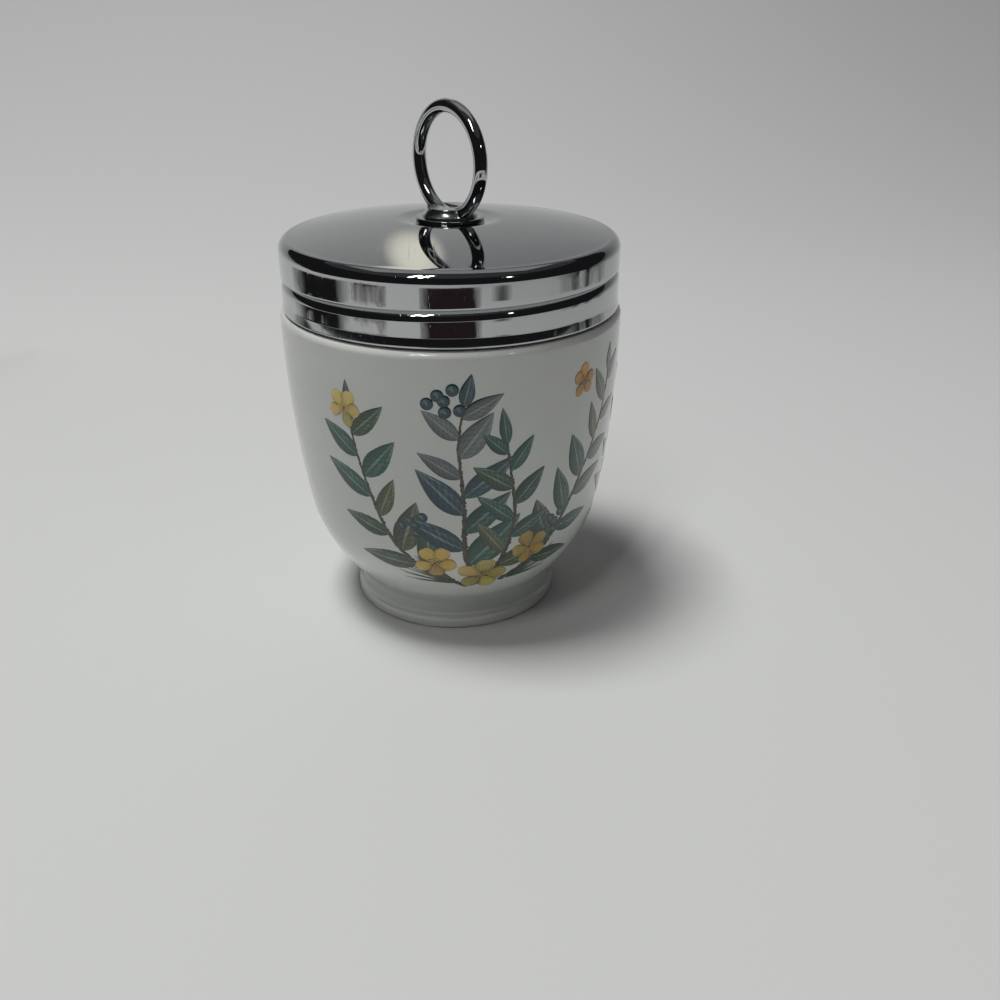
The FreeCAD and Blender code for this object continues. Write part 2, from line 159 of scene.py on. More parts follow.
@dataclass(frozen=True)
class GlazedPorcelain(Finish):
    """White glazed porcelain whose resting edge is left bare."""

    name: str = "glazed_porcelain"
    body: Colour = (0.675, 0.687, 0.657)
    pooled: Colour = (0.625, 0.643, 0.607)
    # painted shade: the grey of the foot's waist where the belly shades it
    waist_shade: Colour = (0.45, 0.475, 0.437)
    bare: Colour = (0.70, 0.68, 0.63)
    speck: Colour = (0.32, 0.27, 0.20)
    roughness: float = 0.05
    bare_roughness: float = 0.75
    bare_height: float = 0.35 * MM
    waist_shade_start: tuple[float, float] = (2.2 * MM, 3.4 * MM)
    waist_shade_end: tuple[float, float] = (6.6 * MM, 9.5 * MM)
    waist_shade_share: float = 0.75
    speck_share: float = 0.8
    grit_depth: float = 0.6

    def shade(self, graph: NodeGraph) -> bpy.types.NodeSocket:
        """Wires the glaze: faint pooling, painted shade that greys the waist under the belly, rare specks, a
        slow ripple and a bare edge.
        """
        place = graph.add("ShaderNodeTexCoord").outputs["Object"]
        height = graph.add("ShaderNodeSeparateXYZ", {0: place}).outputs[2]
        cloud = graph.add("ShaderNodeTexNoise", {"Vector": place, "Scale": 55.0, "Detail": 3.0})
        pool = graph.spread(cloud.outputs[0], 0.35, 0.75, 0.0, 1.0)
        colour = graph.mix(pool, rgba(self.body), rgba(self.pooled))
        # painted shade: a darker band round the waist, under the belly
        rising = graph.spread(height, *self.waist_shade_start, 0.0, 1.0)
        falling = graph.spread(height, *self.waist_shade_end, 1.0, 0.0)
        waist_shaded = graph.math("MULTIPLY", graph.math("MULTIPLY", rising, falling), self.waist_shade_share)
        colour = graph.mix(waist_shaded, colour, rgba(self.waist_shade))
        dots = graph.add("ShaderNodeTexVoronoi", {"Vector": place, "Scale": 260.0}, feature="F1")
        near = graph.spread(dots.outputs["Distance"], 0.035, 0.075, 1.0, 0.0)
        rare = graph.add("ShaderNodeSeparateColor", {0: dots.outputs["Color"]}).outputs[0]
        picked = graph.spread(rare, 0.985, 0.99, 0.0, self.speck_share)
        colour = graph.mix(graph.math("MULTIPLY", near, picked), colour, rgba(self.speck))
        bared = graph.spread(height, self.bare_height * 0.6, self.bare_height, 1.0, 0.0)
        colour = graph.mix(bared, colour, rgba(self.bare))
        grit = graph.add("ShaderNodeTexNoise", {"Vector": place, "Scale": 4200.0, "Detail": 2.0})
        gritty = graph.math("MULTIPLY", grit.outputs[0], graph.math("MULTIPLY", bared, self.grit_depth))
        bump = glaze_bump(graph, graph.math("ADD", glaze_ripple(graph), gritty))
        rough = graph.spread(bared, 0.0, 1.0, self.roughness, self.bare_roughness)
        values = {"Base Color": colour, "Roughness": rough, "Normal": bump, "IOR": GLAZE_IOR,
                  "Subsurface Weight": 0.12, "Subsurface Scale": 0.8 * MM,
                  "Coat Weight": graph.spread(bared, 0.0, 1.0, GLAZE_COAT, 0.0),
                  "Coat Roughness": GLAZE_COAT_ROUGHNESS}
        return graph.add("ShaderNodeBsdfPrincipled", values).outputs[0]


@dataclass(frozen=True)
class ChromePlate(Finish):
    """Polished chromium plate with handling marks."""

    name: str = "chrome_plate"
    tint: Colour = (0.52, 0.53, 0.54)
    dulled: Colour = (0.46, 0.47, 0.48)
    roughness: float = 0.035
    smudged: float = 0.12
    scratched: float = 0.12
    scratch_depth: float = 0.010 * MM
    scratch_lanes: tuple[tuple[float, float], ...] = ((0.5, 1.0), (1.9, 0.8), (2.7, 1.3))

    def shade(self, graph: NodeGraph) -> bpy.types.NodeSocket:
        """Wires the plate: smudges in the gloss, hairline scratches and fine pits."""
        place = graph.add("ShaderNodeTexCoord").outputs["Object"]
        smudge = graph.add("ShaderNodeTexNoise", {"Vector": place, "Scale": 90.0, "Detail": 5.0,
                                                  "Roughness": 0.6})
        touched = graph.spread(smudge.outputs[0], 0.50, 0.78, 0.0, 1.0)
        scratches = None
        for turn, squeeze in self.scratch_lanes:
            lane = graph.add("ShaderNodeMapping", {"Vector": place, "Rotation": (0.0, 0.0, turn),
                                                   "Scale": (3200.0 * squeeze, 90.0, 400.0)})
            thread = graph.add("ShaderNodeTexNoise", {"Vector": lane.outputs[0], "Scale": 1.0, "Detail": 1.0})
            line = graph.spread(thread.outputs[0], 0.70, 0.78, 0.0, 1.0)
            scratches = line if scratches is None else graph.math("MAXIMUM", scratches, line)
        pit = graph.add("ShaderNodeTexVoronoi", {"Vector": place, "Scale": 900.0}, feature="F1")
        pitted = graph.spread(pit.outputs["Distance"], 0.05, 0.12, 1.0, 0.0)
        chance = graph.add("ShaderNodeSeparateColor", {0: pit.outputs["Color"]}).outputs[0]
        pitted = graph.math("MULTIPLY", pitted, graph.spread(chance, 0.96, 0.97, 0.0, 1.0))
        marks = graph.math("MAXIMUM", graph.math("MULTIPLY", scratches, 0.5), pitted)
        colour = graph.mix(graph.math("MULTIPLY", touched, 0.5), rgba(self.tint), rgba(self.dulled))
        rough = graph.math("ADD", graph.spread(touched, 0.0, 1.0, self.roughness, self.smudged),
                           graph.math("MULTIPLY", marks, self.scratched))
        sunk = graph.math("MULTIPLY", marks, -1.0)
        bump = graph.add("ShaderNodeBump", {"Height": sunk, "Strength": 0.5, "Distance": self.scratch_depth})
        values = {"Base Color": colour, "Roughness": rough, "Metallic": 1.0, "Normal": bump.outputs[0]}
        return graph.add("ShaderNodeBsdfPrincipled", values).outputs[0]


@dataclass(frozen=True)
class GlazePaint(Finish):
    """Brushed colour under the same glaze as the porcelain."""

    name: str = "glaze_paint"
    ground: Colour = (0.675, 0.687, 0.657)
    deepest: Colour = (0.012, 0.014, 0.012)
    dark_share: float = 0.72
    pale_share: float = 0.50
    roughness: float = 0.06

    def shade(self, graph: NodeGraph) -> bpy.types.NodeSocket:
        """Wires the paint: each dab's own tint, its painted shade and brush streaks."""
        tint = graph.add("ShaderNodeAttribute", attribute_name="tint").outputs["Color"]
        shade = graph.add("ShaderNodeAttribute", attribute_name="shade").outputs["Fac"]
        brush = graph.add("ShaderNodeAttribute", attribute_name="brush").outputs["Vector"]
        hairs = graph.add("ShaderNodeMapping", {"Vector": brush, "Scale": (13.0, 1.8, 1.0)})
        streak = graph.add("ShaderNodeTexNoise", {"Vector": hairs.outputs[0], "Scale": 1.0, "Detail": 3.0})
        streaky = graph.spread(streak.outputs[0], 0.32, 0.70, -0.35, 0.35)
        depth = graph.math("ADD", shade, streaky)
        dark = graph.mix(self.dark_share, tint, rgba(self.deepest))
        pale = graph.mix(self.pale_share, tint, rgba(self.ground))
        lower = graph.mix(graph.spread(depth, 0.0, 0.5, 0.0, 1.0), dark, tint)
        colour = graph.mix(graph.spread(depth, 0.55, 1.0, 0.0, 1.0), lower, pale)
        values = {"Base Color": colour, "Roughness": self.roughness, "IOR": GLAZE_IOR,
                  "Normal": glaze_bump(graph, glaze_ripple(graph)),
                  "Coat Weight": GLAZE_COAT, "Coat Roughness": GLAZE_COAT_ROUGHNESS}
        return graph.add("ShaderNodeBsdfPrincipled", values).outputs[0]


@dataclass(frozen=True)
class MattSheet(Finish):
    """The pale sheet that the object stands on and in front of."""

    name: str = "matt_sheet"
    near: Colour = (0.665, 0.675, 0.66)
    # painted shade: the sheet's colour far behind and to the right
    far: Colour = (0.55, 0.55, 0.55)
    roughness: float = 0.75
    grain_depth: float = 0.05 * MM

    def shade(self, graph: NodeGraph) -> bpy.types.NodeSocket:
        """Wires the sheet, with painted shade that makes it a little darker far behind and to the right."""
        place = graph.add("ShaderNodeTexCoord").outputs["Object"]
        split = graph.add("ShaderNodeSeparateXYZ", {0: place})
        # painted shade: darker towards the back and towards the right
        back = graph.spread(split.outputs[1], 0.0, 0.9, 0.0, 0.75)
        side = graph.spread(split.outputs[0], -0.05, 0.35, 0.0, 0.35)
        grain = graph.add("ShaderNodeTexNoise", {"Vector": place, "Scale": 2500.0, "Detail": 3.0})
        colour = graph.mix(graph.math("ADD", back, side), rgba(self.near), rgba(self.far))
        bump = graph.add("ShaderNodeBump", {"Height": grain.outputs[0], "Strength": 0.08,
                                            "Distance": self.grain_depth})
        values = {"Base Color": colour, "Roughness": self.roughness, "Normal": bump.outputs[0]}
        return graph.add("ShaderNodeBsdfPrincipled", values).outputs[0]


@dataclass(frozen=True)
class FlatCard(Finish):
    """A plain unlit card that is seen only in the polished metal."""

    name: str = "card"
    colour: Colour = (0.02, 0.02, 0.02)

    def shade(self, graph: NodeGraph) -> bpy.types.NodeSocket:
        """Wires an even glow of the card's colour."""
        return graph.add("ShaderNodeEmission", {"Color": rgba(self.colour), "Strength": 1.0}).outputs[0]


@dataclass(frozen=True)
class SoftCard(FlatCard):
    """A card round the object whose ends and lower edge fade unevenly. Degrees and metres."""

    ends: tuple[float, float] = (90.0, 270.0)
    soft: float = 3.0
    low: float = 0.0
    low_soft: float = 0.02
    uneven: float = 4.0
    uneven_scale: float = 26.0
    uneven_height: float = 0.25

    def shade(self, graph: NodeGraph) -> bpy.types.NodeSocket:
        """Wires the card's glow, clear beyond its faded edges."""
        place = graph.add("ShaderNodeTexCoord").outputs["Object"]
        split = graph.add("ShaderNodeSeparateXYZ", {0: place}).outputs
        angle = graph.math("FLOORED_MODULO", graph.math("ARCTAN2", split[0], split[1]), 2 * math.pi)
        ragged = graph.add("ShaderNodeTexNoise", {"Vector": place, "Scale": self.uneven_scale,
                                                  "Detail": 3.0}).outputs[0]
        drift = graph.math("MULTIPLY", graph.math("SUBTRACT", ragged, 0.5), 2.0 * math.radians(self.uneven))
        angle = graph.math("ADD", angle, drift)
        first, last = (math.radians(end) for end in self.ends)
        soft = math.radians(self.soft)
        rising = graph.spread(angle, first, first + soft, 0.0, 1.0)
        falling = graph.spread(angle, last - soft, last, 1.0, 0.0)
        height = graph.math("ADD", split[2], graph.math("MULTIPLY", drift, self.uneven_height))
        standing = graph.spread(height, self.low, self.low + self.low_soft, 0.0, 1.0)
        share = graph.math("MULTIPLY", graph.math("MULTIPLY", rising, falling), standing)
        glow = super().shade(graph)
        clear = graph.add("ShaderNodeBsdfTransparent").outputs[0]
        return graph.add("ShaderNodeMixShader", {0: share, 1: clear, 2: glow}).outputs[0]


@dataclass(frozen=True)
class SoftGlow(Finish):
    """A card that glows warmly at its middle and fades to nothing at its rim."""

    name: str = "glow"
    colour: Colour = (1.0, 0.97, 0.82)
    strength: float = 1.0
    centre: Colour = (0.0, 1.0, 0.5)
    reach: tuple[float, float] = (0.2, 0.2)

    def shade(self, graph: NodeGraph) -> bpy.types.NodeSocket:
        """Wires a glow that fades with the distance from the middle."""
        place = graph.add("ShaderNodeTexCoord").outputs["Object"]
        split = graph.add("ShaderNodeSeparateXYZ", {0: place}).outputs
        across = graph.math("DIVIDE", graph.math("SUBTRACT", split[0], self.centre[0]), self.reach[0])
        upward = graph.math("DIVIDE", graph.math("SUBTRACT", split[2], self.centre[2]), self.reach[1])
        far = graph.math("ADD", graph.math("POWER", across, 2.0), graph.math("POWER", upward, 2.0))
        share = graph.add("ShaderNodeMapRange", {0: far, 1: 0.0, 2: 1.0, 3: 1.0, 4: 0.0},
                          interpolation_type="SMOOTHSTEP").outputs[0]
        lit = {"Color": rgba(self.colour), "Strength": self.strength}
        glow = graph.add("ShaderNodeEmission", lit).outputs[0]
        clear = graph.add("ShaderNodeBsdfTransparent").outputs[0]
        return graph.add("ShaderNodeMixShader", {0: share, 1: clear, 2: glow}).outputs[0]


def new_piece(name: str, points: np.ndarray, faces: list, finish: Finish | None) -> bpy.types.Object:
    """Makes a smooth-shaded mesh object at the origin.

    Args:
        name: the piece's name.
        points: corners in metres, one row each.
        faces: corner numbers of each face.
        finish: what it is dressed in, if anything.

    Returns:
        The linked object.
    """
    mesh = bpy.data.meshes.new(name)
    mesh.from_pydata([tuple(p) for p in points], [], faces)
    mesh.validate()
    mesh.polygons.foreach_set("use_smooth", [True] * len(mesh.polygons))
    piece = bpy.data.objects.new(name, mesh)
    bpy.context.scene.collection.objects.link(piece)
    if finish is not None:
        finish.dress(piece)
    return piece


@dataclass
class LidShell:
    """The pressed sheet cap with its rolled thread, in millimetres."""

    radius: float = 30.0
    sheet: float = 0.5
    skirt_bottom: float = 58.3
    shoulder: float = 2.0
    shoulder_height: float = 68.35
    dome_radius: float = 146.5
    dome_centre: float = -73.45
    seat_radius: float = 6.4
    seat_height: float = 72.435
    dimple_radius: float = 9.4
    hole_radius: float = 1.65
    lip_start: float = 62.8
    pitch: float = 3.2
    depth: float = 0.8
    roll: float = 1.5
    floor: float = 0.3
    flare: float = 0.15
    flare_height: float = 1.75
    start_azimuth: float = 90.0
    around: int = 384
    roll_steps: int = 12
    dimple_steps: int = 10
    dome_steps: int = 26
    shoulder_steps: int = 18
    calm_radius: float = 12.0
    wavy_radius: float = 20.0
    waviness: float = 0.022
    fine_waviness: float = 0.004
    fineness: float = 3.7

    def groove(self) -> list[tuple[float, float]]:
        """The rolled groove's section as (height over the lip, depth in), from above to below."""
        rows = [(0.32, 0.0), (0.2, 0.006), (0.11, 0.035), (0.05, 0.085), (0.01, 0.16), (-0.012, 0.3),
                (-0.03, 0.5), (-0.055, 0.66), (-0.11, 0.76), (-0.2, 0.8), (-self.floor, self.depth)]
        big = (self.depth ** 2 + self.roll ** 2) / (2 * self.depth)
        for step in range(1, self.roll_steps + 1):
            down = self.roll * step / self.roll_steps
            out = math.sqrt(big ** 2 - (self.roll - down) ** 2) - (big - self.depth)
            rows.append((-self.floor - down, self.depth - out))
        return rows

    def fade(self, turn: float) -> tuple[float, float]:
        """How deep the groove is and how far its lip has risen at a share of the turn."""
        quiet, ramp = 0.02, 0.10
        deep = smooth(quiet, ramp, turn) * smooth(quiet, ramp, 1.0 - turn)
        if quiet <= turn <= 1.0 - quiet:
            return deep, self.pitch * turn
        wrapped = turn if turn > 0.5 else turn + 1.0
        back = smooth(1.0 - quiet, 1.0 + quiet, wrapped)
        return 0.0, self.pitch * ((1.0 - quiet) * (1.0 - back) + quiet * back)

    def crown(self, inward: float) -> list[tuple[float, float]]:
        """The top's section from the hole out to the shoulder's end, offset inward by some sheet."""
        dome = self.dome_radius - inward
        top = self.seat_height - inward
        rows = [(self.hole_radius, top), (4.0, top), (self.seat_radius - 0.6, top)]
        rim = self.dome_centre + math.sqrt(dome ** 2 - self.dimple_radius ** 2)
        for step in range(self.dimple_steps + 1):
            share = step / self.dimple_steps
            out = self.seat_radius + (self.dimple_radius - self.seat_radius) * share
            rows.append((out, top + (rim - top) * smooth(0.0, 1.0, share) ** 0.9))
        centre = self.radius - self.shoulder
        small = self.shoulder - inward
        lean = math.asin(centre / (self.dome_radius - self.shoulder))
        first = math.asin(self.dimple_radius / dome)
        for step in range(1, self.dome_steps + 1):
            angle = first + (lean - first) * step / self.dome_steps
            rows.append((dome * math.sin(angle), self.dome_centre + dome * math.cos(angle)))
        for step in range(1, self.shoulder_steps + 1):
            angle = lean + (math.pi / 2 - lean) * step / self.shoulder_steps
            rows.append((centre + small * math.sin(angle), self.shoulder_height + small * math.cos(angle)))
        return rows

    def section(self, turn: float) -> list[tuple[float, float]]:
        """The whole closed section at a share of the turn, outside first, then back inside."""
        deep, rise = self.fade(turn)
        lip = self.lip_start + rise
        groove = self.groove()
        above, below = groove[0][0], groove[-1][0]
        outside = self.crown(0.0)
        top = self.shoulder_height
        for share in (0.25, 0.5, 0.75):
            outside.append((self.radius, top + (lip + above - top) * share))
        outside += [(self.radius - deep * inset, lip + up) for up, inset in groove]
        foot = lip + below
        edge = self.sheet / 2
        bend = self.skirt_bottom + self.flare_height
        outside += [(self.radius, foot + (bend - foot) * share) for share in (0.3, 0.65, 0.9)]
        for share in (0.0, 0.06, 0.35, 0.7, 0.9):
            height = bend + (self.skirt_bottom + edge - bend) * share
            outside.append((self.radius + self.flare * share, height))
        for angle in (0, 22, 45, 68, 90, 112, 135, 158, 180):
            turned = math.radians(angle)
            outside.append((self.radius + self.flare - edge + edge * math.cos(turned),
                            self.skirt_bottom + edge - edge * math.sin(turned)))
        inner = self.radius - self.sheet
        inside = []
        for up, inset in reversed(groove):
            lifted = lip + up + (self.sheet if inset > 0.1 and up > -self.floor - 0.01 else 0.0) * deep
            inside.append((inner - deep * inset, lifted))
        inside = [(out, min(height, self.shoulder_height)) for out, height in inside]
        inside += [(inner, lip + self.sheet + above), (inner, (lip + self.sheet + above + top) / 2)]
        inside += list(reversed(self.crown(self.sheet)))
        return outside + inside

    def build(self) -> bpy.types.Object:
        """Makes the shell, with the faint unevenness that pressed sheet has."""
        rings = []
        for index in range(self.around):
            share = index / self.around
            angle = math.radians(self.start_azimuth) + share * 2 * math.pi
            ring = []
            for out, height in self.section(share):
                wave = 0.0
                if out > self.calm_radius:
                    probe = Vector((math.cos(angle) * 2.2, math.sin(angle) * 2.2, height * 0.16))
                    wave = self.waviness * noise.noise(probe)
                    wave += self.fine_waviness * noise.noise(probe * self.fineness)
                    wave *= smooth(self.calm_radius, self.wavy_radius, out)
                reach = (out + wave) * MM
                ring.append((reach * math.cos(angle), reach * math.sin(angle), height * MM))
            rings.append(ring)
        rows = len(rings[0])
        points = np.array(rings).reshape(-1, 3)
        faces = []
        for index in range(self.around):
            here, there = index * rows, ((index + 1) % self.around) * rows
            for row in range(rows):
                after = (row + 1) % rows
                faces.append((here + row, here + after, there + after, there + row))
        return new_piece("lid_cap", points, faces, None)


class Motif(Enum):
    """The painter's marks, numbered as the motif collection lists them."""

    LEAF = 0
    BLADE = 1
    PETAL = 2
    BERRY = 3
    DAB = 4


@dataclass(frozen=True)
class Palette:
    """Colours of the painted sprays."""

    teal: Colour = (0.016, 0.092, 0.070)
    green: Colour = (0.035, 0.085, 0.042)
    moss: Colour = (0.085, 0.105, 0.040)
    blue: Colour = (0.016, 0.070, 0.092)
    slate: Colour = (0.13, 0.165, 0.165)
    olive: Colour = (0.070, 0.062, 0.030)
    umber: Colour = (0.085, 0.045, 0.022)
    ochre: Colour = (0.50, 0.33, 0.045)
    yellow: Colour = (0.60, 0.46, 0.12)
    orange: Colour = (0.60, 0.27, 0.045)
    ink: Colour = (0.012, 0.014, 0.014)


@dataclass
class CupProfile:
    """The outer line of the porcelain from the foot's flare to the shoulder, in millimetres."""

    foot: tuple[float, float] = (20.47, 7.4)
    meeting: tuple[float, float] = (28.08, 22.88)
    shoulder: tuple[float, float] = (30.7, 56.7)
    underside_radius: float = 28.97
    belly_radius: float = 219.5
    steps: int = 90

    def arc(self, start: tuple[float, float], end: tuple[float, float],
            radius: float) -> list[tuple[float, float]]:
        """Points of the outward-bulging arc from start to end."""
        first, last = Vector(start), Vector(end)
        chord = last - first
        side = Vector((-chord.y, chord.x)).normalized()
        centre = (first + last) / 2 + side * math.sqrt(radius ** 2 - (chord.length / 2) ** 2)
        begin = math.atan2(first.y - centre.y, first.x - centre.x)
        finish = math.atan2(last.y - centre.y, last.x - centre.x)
        return [(centre.x + radius * math.cos(begin + (finish - begin) * k / self.steps),
                 centre.y + radius * math.sin(begin + (finish - begin) * k / self.steps))
                for k in range(self.steps + 1)]

    def points(self) -> np.ndarray:
        """Rows of (radius, height) up the outside."""
        lower = self.arc(self.foot, self.meeting, self.underside_radius)
        upper = self.arc(self.meeting, self.shoulder, self.belly_radius)
        return np.array(lower + upper[1:])

    def lengths(self) -> np.ndarray:
        """How far along the line each point is."""
        steps = np.diff(self.points(), axis=0)
        return np.concatenate([[0.0], np.cumsum(np.hypot(steps[:, 0], steps[:, 1]))])

    def rise_at(self, height: float) -> float:
        """The length along the line at a height."""
        return float(np.interp(height, self.points()[:, 1], self.lengths()))

    def girth_at(self, rise: float) -> float:
        """The cup's radius at a length along the line."""
        return float(np.interp(rise, self.lengths(), self.points()[:, 0]))

    def curve(self) -> bpy.types.Object:
        """The line as a curve object that the wrapping tree samples."""
        data = bpy.data.curves.new("cup_line", "CURVE")
        data.dimensions = "3D"
        spline = data.splines.new("POLY")
        rows = self.points()
        spline.points.add(len(rows) - 1)
        for point, (out, height) in zip(spline.points, rows):
            point.co = (out * MM, 0.0, height * MM, 1.0)
        line = bpy.data.objects.new("cup_line", data)
        bpy.context.scene.collection.objects.link(line)
        return line


@dataclass
class Mark:
    """One brush mark: its kind, where it sits on the cup, how it lies and its colour."""

    motif: Motif
    turn: float
    rise: float
    spin: float
    size: tuple[float, float]
    tint: Colour


@dataclass
class PaintedSprays:
    """Leafy sprays with blossoms and berries, painted round the cup. Millimetres and radians."""

    profile: CupProfile
    palette: Palette = field(default_factory=Palette)
    seed: int = 7
    lift: float = 0.035
    top: float = 54.5
    marks: list[Mark] = field(default_factory=list)

    def __post_init__(self) -> None:
        """Starts the painter's own run of chance."""
        self.chance = np.random.default_rng(self.seed)

    def varied(self, colour: Colour, spread: float = 0.18) -> Colour:
        """The colour, a little lighter or darker and warmer or cooler."""
        level = 1.0 + self.chance.uniform(-spread, spread)
        drift = self.chance.uniform(-0.06, 0.06, 3)
        return tuple(float(max(0.004, c * (level + d))) for c, d in zip(colour, drift))

    def mark(self, motif: Motif, turn: float, rise: float, spin: float, size: tuple[float, float],
             tint: Colour) -> None:
        """Adds one mark."""
        self.marks.append(Mark(motif, turn, rise, spin, size, self.varied(tint)))

    def walk(self, start: tuple[float, float], heading: float, length: float, bend: float,
             step: float = 0.22) -> list[tuple[float, float, float]]:
        """Follows a bending path over the cup.

        Args:
            start: turn in radians and height in millimetres.
            heading: direction in radians, 0 to the right and a quarter turn upwards.
            length: how far it goes.
            bend: how much the heading changes on the way.
            step: distance between the points.

        Returns:
            Rows of turn, rise and heading.
        """
        turn, rise = start[0], self.profile.rise_at(start[1])
        count = max(2, int(length / step))
        rows = []
        wobble = self.chance.uniform(0, 6.28)
        for index in range(count):
            share = index / count
            lean = heading + bend * share + 0.10 * math.sin(share * 9.0 + wobble)
            rows.append((turn, rise, lean))
            turn += step * math.cos(lean) / self.profile.girth_at(rise)
            rise += step * math.sin(lean)
        return rows

    def twig(self, path: list[tuple[float, float, float]], thick: float, thin: float,
             tints: tuple[Colour, ...]) -> None:
        """Paints a knobbly stem along a path, thinner towards its end."""
        count = len(path)
        for index, (turn, rise, lean) in enumerate(path):
            width = thick + (thin - thick) * index / count
            knob = 1.0 + 0.35 * max(0.0, math.sin(index * 0.55)) ** 3
            jitter = self.chance.normal(0.0, 0.12) * width
            tint = tints[self.chance.integers(len(tints))]
            aside = (-math.sin(lean) * jitter / self.profile.girth_at(rise), math.cos(lean) * jitter)
            self.mark(Motif.DAB, turn + aside[0], rise + aside[1], lean - math.pi / 2,
                      (width * knob * 0.55, 0.34), tint)

    def leaf(self, turn: float, rise: float, lean: float, length: float, width: float, tint: Colour) -> None:
        """Paints one leaf that grows from a point in a direction."""
        room = self.profile.rise_at(self.top) - rise
        if math.sin(lean) * length > room:
            length = max(2.0, room / math.sin(lean))
        self.mark(Motif.LEAF, turn, rise, lean - math.pi / 2, (width, length), tint)

    def blossom(self, turn: float, height: float, size: float, tint: Colour, heart: Colour) -> None:
        """Paints a five-petalled blossom with a stippled heart."""
        rise = self.profile.rise_at(height)
        first = self.chance.uniform(0, 6.28)
        for petal in range(5):
            lean = first + petal * 2 * math.pi / 5 + self.chance.uniform(-0.1, 0.1)
            width, length = size * self.chance.uniform(0.17, 0.21), size * self.chance.uniform(0.46, 0.54)
            self.mark(Motif.PETAL, turn, rise, lean - math.pi / 2, (width, length), self.varied(tint, 0.22))
        for _ in range(22):
            lean, far = self.chance.uniform(0, 6.28), size * 0.16 * math.sqrt(self.chance.uniform(0.02, 1))
            spot = (turn + far * math.cos(lean) / self.profile.girth_at(rise), rise + far * math.sin(lean))
            self.mark(Motif.DAB, *spot, lean, (0.20, 0.20), heart)

    def spray(self, start: tuple[float, float], heading: float, length: float, bend: float, leaf: float,
              tints: tuple[Colour, ...], gap: float = 3.4, first: float = 0.12,
              broad: float = 0.23) -> None:
        """Paints a stem with leaves on alternate sides and one at its tip."""
        path = self.walk(start, heading, length, bend)
        pal = self.palette
        self.twig(path, 0.95, 0.28, (pal.olive, pal.umber, pal.olive, pal.ink))
        count = int(length * (1 - first) / gap)
        for index in range(count):
            share = first + (1 - first) * (index + 0.5) / count
            turn, rise, lean = path[int(share * (len(path) - 1))]
            side = 1 if index % 2 else -1
            size = leaf * (1.05 - 0.45 * share) * self.chance.uniform(0.85, 1.12)
            angle = lean + side * self.chance.uniform(0.65, 0.95)
            tint = tints[self.chance.integers(len(tints))]
            self.leaf(turn, rise, angle, size, size * broad * self.chance.uniform(0.85, 1.1), tint)
        turn, rise, lean = path[-1]
        self.leaf(turn, rise, lean, leaf * 0.62, leaf * 0.11, tints[0])

    def frond(self, start: tuple[float, float], heading: float, spread: float, length: float,
              tints: tuple[Colour, ...], count: int) -> None:
        """Paints a tuft of arching grass blades from one point."""
        turn, rise = start[0], self.profile.rise_at(start[1])
        for index in range(count):
            share = (index + 0.5) / count - 0.5
            lean = heading + spread * share + self.chance.uniform(-0.05, 0.05)
            reach = length * (1.0 - 1.1 * share * share) * self.chance.uniform(0.8, 1.1)
            tint = tints[self.chance.integers(len(tints))]
            self.mark(Motif.BLADE, turn, rise, lean - math.pi / 2, (0.36, reach), tint)

    def berries(self, turn: float, height: float, size: float, count: int, tint: Colour) -> None:
        """Paints a hanging bunch of small berries."""
        rise = self.profile.rise_at(height)
        for index in range(count):
            lean, far = index * 2.4, size * 0.62 * math.sqrt(index)
            spot = (turn + far * math.cos(lean) / self.profile.girth_at(rise), rise + far * math.sin(lean))
            self.mark(Motif.BERRY, *spot, self.chance.uniform(-0.4, 0.4), (size * 0.5, size * 0.5), tint)

    def compose(self) -> None:
        """Lays out the sprays: a wide one at the front, one at the right side and a small one behind."""
        pal = self.palette
        greens = (pal.teal, pal.green, pal.teal, pal.moss)
        cools = (pal.blue, pal.slate, pal.teal, pal.blue)
        grassy = (pal.teal, pal.green, pal.moss)
        deg = math.radians
        self.frond((deg(-90), 13.0), deg(150), deg(54), 12.0, grassy, 13)
        self.frond((deg(-70), 13.0), deg(30), deg(54), 12.0, grassy, 13)
        self.spray((deg(-86), 12.0), deg(146), 40.0, deg(-58), 12.5, greens, 3.6)
        self.spray((deg(-72), 13.0), deg(40), 44.0, deg(42), 11.5, greens, 3.4)
        self.spray((deg(-82), 12.5), deg(104), 38.0, deg(-22), 13.0, cools, 3.5)
        self.spray((deg(-77), 12.5), deg(70), 31.0, deg(34), 11.0, greens, 3.2)
        self.berries(deg(-93), 50.0, 2.2, 6, pal.blue)
        self.berries(deg(-104), 26.5, 2.0, 5, pal.blue)
        self.berries(deg(-52), 24.0, 2.0, 6, pal.blue)
        self.blossom(deg(-80), 15.0, 9.6, pal.yellow, pal.umber)
        self.blossom(deg(-98), 18.5, 8.0, pal.ochre, pal.umber)
        self.blossom(deg(-62), 20.0, 7.6, pal.ochre, pal.orange)
        self.blossom(deg(-126), 47.0, 6.6, pal.yellow, pal.orange)
        self.blossom(deg(-44), 50.0, 6.0, pal.orange, pal.umber)
        self.spray((deg(-8), 14.0), deg(100), 38.0, deg(-40), 11.0, greens, 3.3)
        self.spray((deg(-4), 14.0), deg(62), 27.0, deg(40), 9.5, cools, 3.3)
        self.frond((deg(-10), 13.5), deg(140), deg(60), 10.0, grassy, 11)
        self.blossom(deg(-7), 16.0, 8.2, pal.ochre, pal.umber)
        self.berries(deg(6), 44.0, 1.9, 5, pal.blue)
        self.spray((deg(98), 14.0), deg(66), 32.0, deg(42), 10.5, greens, 3.4)
        self.spray((deg(92), 14.0), deg(118), 27.0, deg(-45), 9.5, cools, 3.4)
        self.frond((deg(95), 13.0), deg(90), deg(80), 9.5, grassy, 11)
        self.blossom(deg(95), 15.5, 8.6, pal.yellow, pal.umber)
        self.berries(deg(112), 40.0, 1.9, 5, pal.blue)

